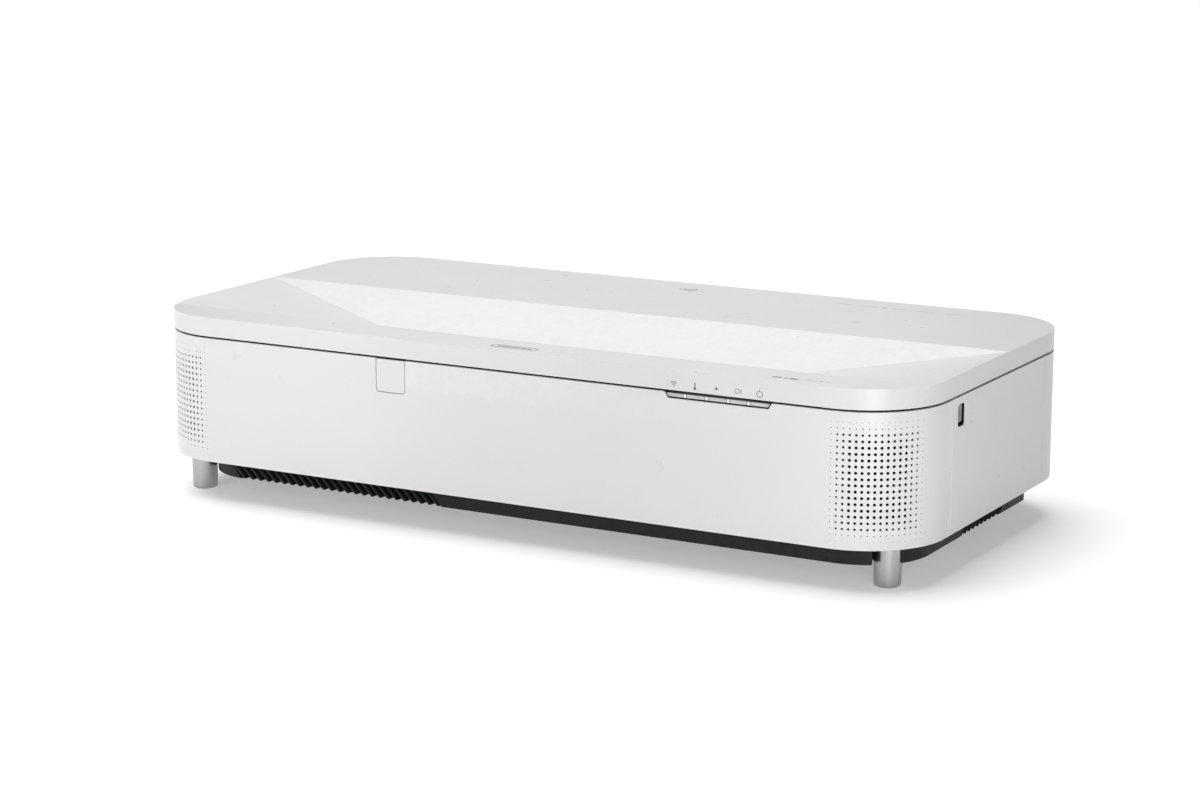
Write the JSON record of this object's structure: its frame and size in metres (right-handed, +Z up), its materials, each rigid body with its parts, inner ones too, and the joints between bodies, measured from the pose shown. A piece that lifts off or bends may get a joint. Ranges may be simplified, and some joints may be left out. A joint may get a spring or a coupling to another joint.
{
  "type": "ultra short throw projector",
  "caption": "Long low white projector with a sunken light recess in its top, rounded corners with speaker perforation, a black base tray and silver front feet.",
  "frame": {"origin": "on the table, under the middle of the housing", "axes": "+X to the right seen from the front, -Y towards the viewer of the front panel, +Z up"},
  "size_m": [0.695, 0.341, 0.155],
  "materials": {
    "white_shell": "satin moulded",
    "black_plastic": "fine grain",
    "smoked_plastic": "glossy",
    "light_bar": "glossy",
    "satin_metal": "brushed",
    "cast_metal": "cast",
    "copper": "bare",
    "mirror": "polished",
    "glass": "coated",
    "rubber": "matt",
    "board": "lacquered",
    "filter_foam": "pleated",
    "cone": "paper"
  },
  "bodies": {
    "housing": {"top_cover": "white_shell", "parting_gasket": "black_plastic", "front_panel": "white_shell", "receiver_window": "smoked_plastic", "indicator_bar": "light_bar", "left_side_panel": "white_shell", "rear_panel": "white_shell", "port_bay": "black_plastic", "power_inlet": "black_plastic", "video_port_1": "satin_metal", "video_port_2": "satin_metal", "data_port": "satin_metal", "network_port": "satin_metal", "bottom_pan": "black_plastic", "base_tray": "black_plastic", "foot_socket_left": "cast_metal", "foot_socket_right": "cast_metal", "rear_foot_left": "rubber", "rear_foot_right": "rubber", "shutter_rail_upper": "black_plastic", "shutter_rail_lower": "black_plastic", "window_frame": "black_plastic", "projection_window": "glass", "shutter_motor": "satin_metal", "concave_mirror": "mirror", "mirror_cradle": "cast_metal", "lens_barrel": "black_plastic", "front_lens": "glass", "engine_chassis": "cast_metal", "prism_cube": "glass", "lcd_panel_green": "smoked_plastic", "lcd_panel_red": "smoked_plastic", "lcd_panel_blue": "smoked_plastic", "dichroic_mirror": "glass", "integrator_lens": "glass", "wheel_motor": "black_plastic", "laser_module": "copper", "laser_heatsink": "satin_metal", "main_board": "board", "power_supply": "satin_metal", "exhaust_fan_frame": "black_plastic", "intake_fan_frame": "black_plastic", "air_filter": "filter_foam", "speaker_left": "black_plastic", "speaker_right": "black_plastic"},
    "lens_shutter": {"lens_shutter": "white_shell"},
    "shutter_pinion": {"shutter_pinion": "black_plastic"},
    "power_button": {"power_button": "light_bar"},
    "side_cover": {"side_cover": "white_shell"},
    "side_latch": {"side_latch": "light_bar"},
    "focus_lever": {"focus_lever": "black_plastic"},
    "focus_rod": {"focus_rod": "satin_metal"},
    "focus_ring": {"focus_ring": "satin_metal"},
    "phosphor_wheel": {"phosphor_wheel": "satin_metal"},
    "exhaust_fan": {"exhaust_fan_rotor": "black_plastic"},
    "intake_fan": {"intake_fan_rotor": "black_plastic"},
    "front_foot_left": {"front_foot_left": "satin_metal"},
    "front_foot_right": {"front_foot_right": "satin_metal"},
    "speaker_cone_left": {"speaker_cone_left": "cone"},
    "speaker_cone_right": {"speaker_cone_right": "cone"}
  },
  "joints": [
    {"name": "shutter_slide", "type": "slide", "parent": "housing", "child": "lens_shutter", "axis": [1, 0, 0], "range_m": [-0.158, 0]},
    {"name": "shutter_pinion_spin", "type": "hinge", "parent": "housing", "child": "shutter_pinion", "pos_m": [-0.097, -0.11707, 0.12308], "axis": [0, 0.7391, -0.6736], "range_deg": [-1510, 10]},
    {"name": "power_button_press", "type": "slide", "parent": "housing", "child": "power_button", "axis": [0, 1, 0], "range_m": [0, 0.0012], "stiffness_N_per_m": 400},
    {"name": "side_cover_hinge", "type": "hinge", "parent": "housing", "child": "side_cover", "pos_m": [0.3475, 0.0972, 0.085], "axis": [0, 0, 1], "range_deg": [0, 85]},
    {"name": "side_latch_slide", "type": "slide", "parent": "side_cover", "child": "side_latch", "axis": [0, 1, 0], "range_m": [0, 0.0025], "stiffness_N_per_m": 300},
    {"name": "focus_lever_turn", "type": "hinge", "parent": "housing", "child": "focus_lever", "pos_m": [0.318, -0.0467, 0.0995], "axis": [0, 0, 1], "range_deg": [-18, 18]},
    {"name": "focus_rod_slide", "type": "slide", "parent": "housing", "child": "focus_rod", "axis": [1, 0, 0], "range_m": [-0.0048, 0.0048]},
    {"name": "focus_ring_turn", "type": "hinge", "parent": "housing", "child": "focus_ring", "pos_m": [0, -0.061, 0.08], "axis": [0, 1, 0], "range_deg": [-9, 9]},
    {"name": "phosphor_wheel_spin", "type": "hinge", "parent": "housing", "child": "phosphor_wheel", "pos_m": [-0.12, 0.062, 0.08], "axis": [1, 0, 0], "continuous": true},
    {"name": "exhaust_fan_spin", "type": "hinge", "parent": "housing", "child": "exhaust_fan", "pos_m": [-0.326, 0.058, 0.082], "axis": [1, 0, 0], "continuous": true},
    {"name": "intake_fan_spin", "type": "hinge", "parent": "housing", "child": "intake_fan", "pos_m": [0.262, 0.005, 0.082], "axis": [1, 0, 0], "continuous": true},
    {"name": "front_foot_left_screw", "type": "slide", "parent": "housing", "child": "front_foot_left", "axis": [0, 0, -1], "range_m": [0, 0.01]},
    {"name": "front_foot_right_screw", "type": "slide", "parent": "housing", "child": "front_foot_right", "axis": [0, 0, -1], "range_m": [0, 0.01]},
    {"name": "speaker_cone_left_throw", "type": "slide", "parent": "housing", "child": "speaker_cone_left", "axis": [-0.5446, -0.8387, 0], "range_m": [-0.001, 0.001], "stiffness_N_per_m": 900},
    {"name": "speaker_cone_right_throw", "type": "slide", "parent": "housing", "child": "speaker_cone_right", "axis": [0.5446, -0.8387, 0], "range_m": [-0.001, 0.001], "stiffness_N_per_m": 900}
  ],
  "couplings": [
    {"joint": "shutter_pinion_spin", "follows": "shutter_slide", "rad_per_m": 166.67},
    {"joint": "focus_rod_slide", "follows": "focus_lever_turn", "m_per_rad": 0.0143},
    {"joint": "focus_ring_turn", "follows": "focus_lever_turn", "ratio": 0.47667}
  ]
}
